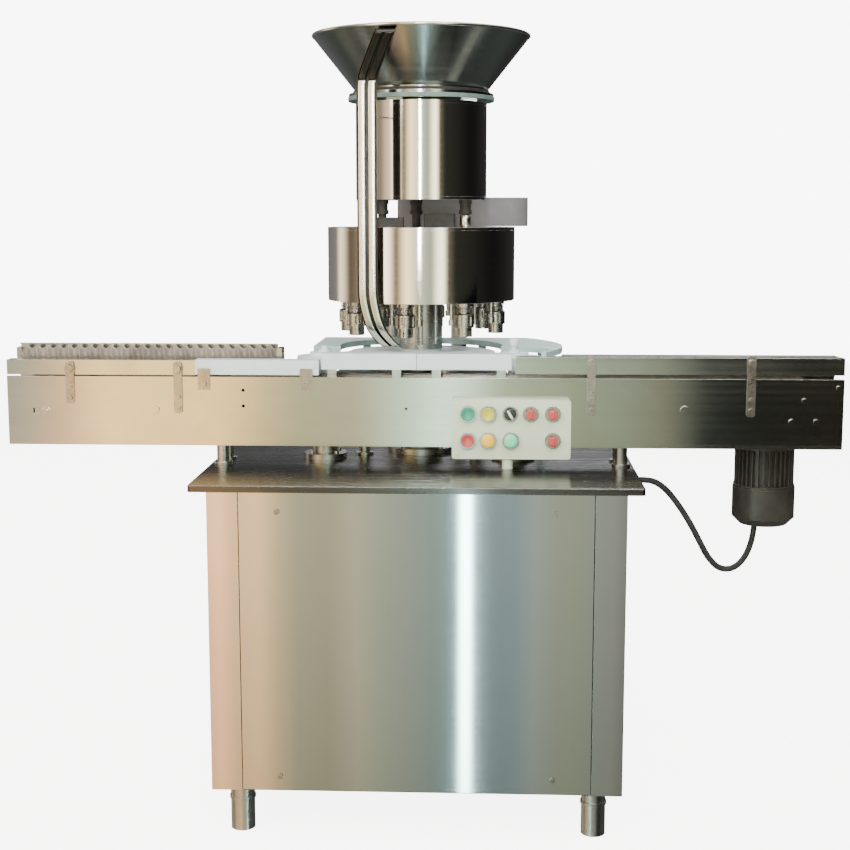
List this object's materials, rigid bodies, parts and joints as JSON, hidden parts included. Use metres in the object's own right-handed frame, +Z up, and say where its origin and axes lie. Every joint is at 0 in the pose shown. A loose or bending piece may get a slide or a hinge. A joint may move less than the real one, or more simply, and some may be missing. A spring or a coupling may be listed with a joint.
{
  "type": "rotary capping machine",
  "caption": "Rotary capping machine: cabinet, slat conveyor, star wheels, capping turret, vibrating feed bowl, cap chute and control panel.",
  "frame": {"origin": "on the floor under the centre of the table", "axes": "+X along the conveyor in the way the vials travel, +Y from the operator's side to the back, +Z up"},
  "size_m": [1.68, 0.86, 1.578],
  "materials": {
    "cabinet_sheet": "brushed stainless sheet",
    "frame_paint": "grey paint",
    "screw_steel": "bright machined",
    "leg_steel": "brushed tube",
    "table_plate": "polished plate with a light edge",
    "machined_steel": "machined",
    "cast_case": "painted casting",
    "motor_paint": "dark paint",
    "fan_plastic": "moulded",
    "terminal_plastic": "moulded",
    "conduit": "corrugated conduit",
    "conveyor_sheet": "brushed sheet",
    "slat_steel": "worn slats",
    "channel_steel": "folded channel",
    "white_nylon": "machined white nylon",
    "worm_acetal": "turned acetal",
    "pale_guide": "machined pale plate",
    "chuck_steel": "turned",
    "mirror_steel": "polished stainless",
    "bowl_steel": "polished sheet, dark reflections",
    "mount_rubber": "moulded",
    "chute_steel": "polished bar",
    "guard_paint": "matt grey paint",
    "panel_paint": "pale mint enamel",
    "green_plastic": "gloss",
    "yellow_plastic": "gloss",
    "red_plastic": "gloss",
    "black_plastic": "gloss",
    "lamp_plastic": "bright rings and lens caps"
  },
  "bodies": {
    "machine": {"corner_covers": "cabinet_sheet", "front_panel": "cabinet_sheet", "cabinet_panels": "cabinet_sheet", "cabinet_frame": "frame_paint", "panel_screws": "screw_steel", "rail_brackets": "screw_steel", "legs": "leg_steel", "table_top": "table_plate", "bearing_housings": "machined_steel", "conveyor_supports": "machined_steel", "rear_columns": "machined_steel", "sun_gear": "machined_steel", "main_gearbox": "cast_case", "conveyor_gearbox": "cast_case", "main_motor": "motor_paint", "motor_housing": "motor_paint", "motor_fan_cover": "motor_paint", "terminal_box": "terminal_plastic", "motor_cable": "conduit", "front_side_plate": "conveyor_sheet", "rear_side_plate": "conveyor_sheet", "slat_chain": "slat_steel", "guide_channels": "channel_steel", "rear_guides": "channel_steel", "infeed_guide_rail": "white_nylon", "front_guide_blocks": "white_nylon", "outer_guide_plate": "pale_guide", "slide_plate": "machined_steel", "drum_cover": "mirror_steel", "bowl_drive": "mirror_steel", "bowl_mounts": "mount_rubber", "cap_chute": "chute_steel", "belt_cover": "guard_paint", "panel_box": "panel_paint", "lamps_and_bezels": "lamp_plastic"},
    "turret": {"turret_shaft": "machined_steel", "turret_star_wheel": "white_nylon", "head_carrier": "machined_steel"},
    "infeed_star": {"infeed_star": "white_nylon"},
    "outfeed_star": {"outfeed_star": "white_nylon"},
    "infeed_worm": {"infeed_worm": "worm_acetal"},
    "drive_sprocket": {"drive_sprocket": "machined_steel"},
    "idler_sprocket": {"idler_sprocket": "machined_steel"},
    "motor_fan": {"motor_fan": "fan_plastic"},
    "bowl": {"feed_bowl": "bowl_steel"},
    "start_button": {"start_button": "green_plastic"},
    "jog_button": {"jog_button": "yellow_plastic"},
    "stop_button": {"stop_button": "red_plastic"},
    "selector": {"selector_switch": "black_plastic"},
    "knob_1": {"knob_1": "red_plastic"},
    "knob_2": {"knob_2": "red_plastic"},
    "knob_3": {"knob_3": "red_plastic"},
    "head_1": {"capping_head_1": "chuck_steel"},
    "head_2": {"capping_head_2": "chuck_steel"},
    "head_3": {"capping_head_3": "chuck_steel"},
    "head_4": {"capping_head_4": "chuck_steel"},
    "head_5": {"capping_head_5": "chuck_steel"},
    "head_6": {"capping_head_6": "chuck_steel"},
    "head_7": {"capping_head_7": "chuck_steel"},
    "head_8": {"capping_head_8": "chuck_steel"}
  },
  "joints": [
    {"name": "turret_spin", "type": "hinge", "parent": "machine", "child": "turret", "pos_m": [-0.008, 0, 0.9], "axis": [0, 0, 1], "continuous": true},
    {"name": "head_1_spin", "type": "hinge", "parent": "turret", "child": "head_1", "pos_m": [0.12144, 0.09405, 1], "axis": [0, 0, 1], "continuous": true},
    {"name": "head_2_spin", "type": "hinge", "parent": "turret", "child": "head_2", "pos_m": [0.01703, 0.15803, 1], "axis": [0, 0, 1], "continuous": true},
    {"name": "head_3_spin", "type": "hinge", "parent": "turret", "child": "head_3", "pos_m": [-0.10205, 0.12944, 1], "axis": [0, 0, 1], "continuous": true},
    {"name": "head_4_spin", "type": "hinge", "parent": "turret", "child": "head_4", "pos_m": [-0.16603, 0.02503, 1], "axis": [0, 0, 1], "continuous": true},
    {"name": "head_5_spin", "type": "hinge", "parent": "turret", "child": "head_5", "pos_m": [-0.13744, -0.09405, 1], "axis": [0, 0, 1], "continuous": true},
    {"name": "head_6_spin", "type": "hinge", "parent": "turret", "child": "head_6", "pos_m": [-0.03303, -0.15803, 1], "axis": [0, 0, 1], "continuous": true},
    {"name": "head_7_spin", "type": "hinge", "parent": "turret", "child": "head_7", "pos_m": [0.08605, -0.12944, 1], "axis": [0, 0, 1], "continuous": true},
    {"name": "head_8_spin", "type": "hinge", "parent": "turret", "child": "head_8", "pos_m": [0.15003, -0.02503, 1], "axis": [0, 0, 1], "continuous": true},
    {"name": "infeed_star_spin", "type": "hinge", "parent": "machine", "child": "infeed_star", "pos_m": [-0.20396, -0.1, 0.9], "axis": [0, 0, 1], "continuous": true},
    {"name": "outfeed_star_spin", "type": "hinge", "parent": "machine", "child": "outfeed_star", "pos_m": [0.18796, -0.1, 0.9], "axis": [0, 0, 1], "continuous": true},
    {"name": "infeed_worm_spin", "type": "hinge", "parent": "machine", "child": "infeed_worm", "pos_m": [-0.562, -0.132, 0.925], "axis": [1, 0, 0], "continuous": true},
    {"name": "motor_fan_spin", "type": "hinge", "parent": "machine", "child": "motor_fan", "pos_m": [0.712, -0.074, 0.611], "axis": [0, 0, 1], "continuous": true},
    {"name": "drive_sprocket_spin", "type": "hinge", "parent": "machine", "child": "drive_sprocket", "pos_m": [0.762, -0.16, 0.81787], "axis": [0, 1, 0], "continuous": true},
    {"name": "idler_sprocket_spin", "type": "hinge", "parent": "machine", "child": "idler_sprocket", "pos_m": [-0.762, -0.16, 0.81787], "axis": [0, 1, 0], "continuous": true},
    {"name": "bowl_vibration", "type": "hinge", "parent": "machine", "child": "bowl", "pos_m": [-0.008, 0, 1.5], "axis": [0, 0, 1], "range_deg": [-0.4, 0.4], "stiffness_Nm_per_rad": 3000},
    {"name": "start_button_press", "type": "slide", "parent": "machine", "child": "start_button", "axis": [0, 1, 0], "range_m": [0, 0.004], "stiffness_N_per_m": 400},
    {"name": "jog_button_press", "type": "slide", "parent": "machine", "child": "jog_button", "axis": [0, 1, 0], "range_m": [0, 0.004], "stiffness_N_per_m": 400},
    {"name": "stop_button_press", "type": "slide", "parent": "machine", "child": "stop_button", "axis": [0, 1, 0], "range_m": [0, 0.004], "stiffness_N_per_m": 400},
    {"name": "selector_turn", "type": "hinge", "parent": "machine", "child": "selector", "pos_m": [0.1795, -0.24, 0.82], "axis": [0, 1, 0], "range_deg": [-15, 75]},
    {"name": "knob_1_turn", "type": "hinge", "parent": "machine", "child": "knob_1", "pos_m": [0.2205, -0.24, 0.82], "axis": [0, 1, 0], "range_deg": [-135, 135]},
    {"name": "knob_2_turn", "type": "hinge", "parent": "machine", "child": "knob_2", "pos_m": [0.264, -0.24, 0.82], "axis": [0, 1, 0], "range_deg": [-135, 135]},
    {"name": "knob_3_turn", "type": "hinge", "parent": "machine", "child": "knob_3", "pos_m": [0.2645, -0.24, 0.767], "axis": [0, 1, 0], "range_deg": [-135, 135]}
  ],
  "couplings": [
    {"joint": "head_1_spin", "follows": "turret_spin", "ratio": 4.7143},
    {"joint": "head_2_spin", "follows": "turret_spin", "ratio": 4.7143},
    {"joint": "head_3_spin", "follows": "turret_spin", "ratio": 4.7143},
    {"joint": "head_4_spin", "follows": "turret_spin", "ratio": 4.7143},
    {"joint": "head_5_spin", "follows": "turret_spin", "ratio": 4.7143},
    {"joint": "head_6_spin", "follows": "turret_spin", "ratio": 4.7143},
    {"joint": "head_7_spin", "follows": "turret_spin", "ratio": 4.7143},
    {"joint": "head_8_spin", "follows": "turret_spin", "ratio": 4.7143},
    {"joint": "infeed_star_spin", "follows": "turret_spin", "ratio": -2.6667},
    {"joint": "outfeed_star_spin", "follows": "turret_spin", "ratio": -2.6667},
    {"joint": "infeed_worm_spin", "follows": "turret_spin", "ratio": -8},
    {"joint": "drive_sprocket_spin", "follows": "motor_fan_spin", "ratio": 0.05},
    {"joint": "idler_sprocket_spin", "follows": "motor_fan_spin", "ratio": 0.05}
  ]
}
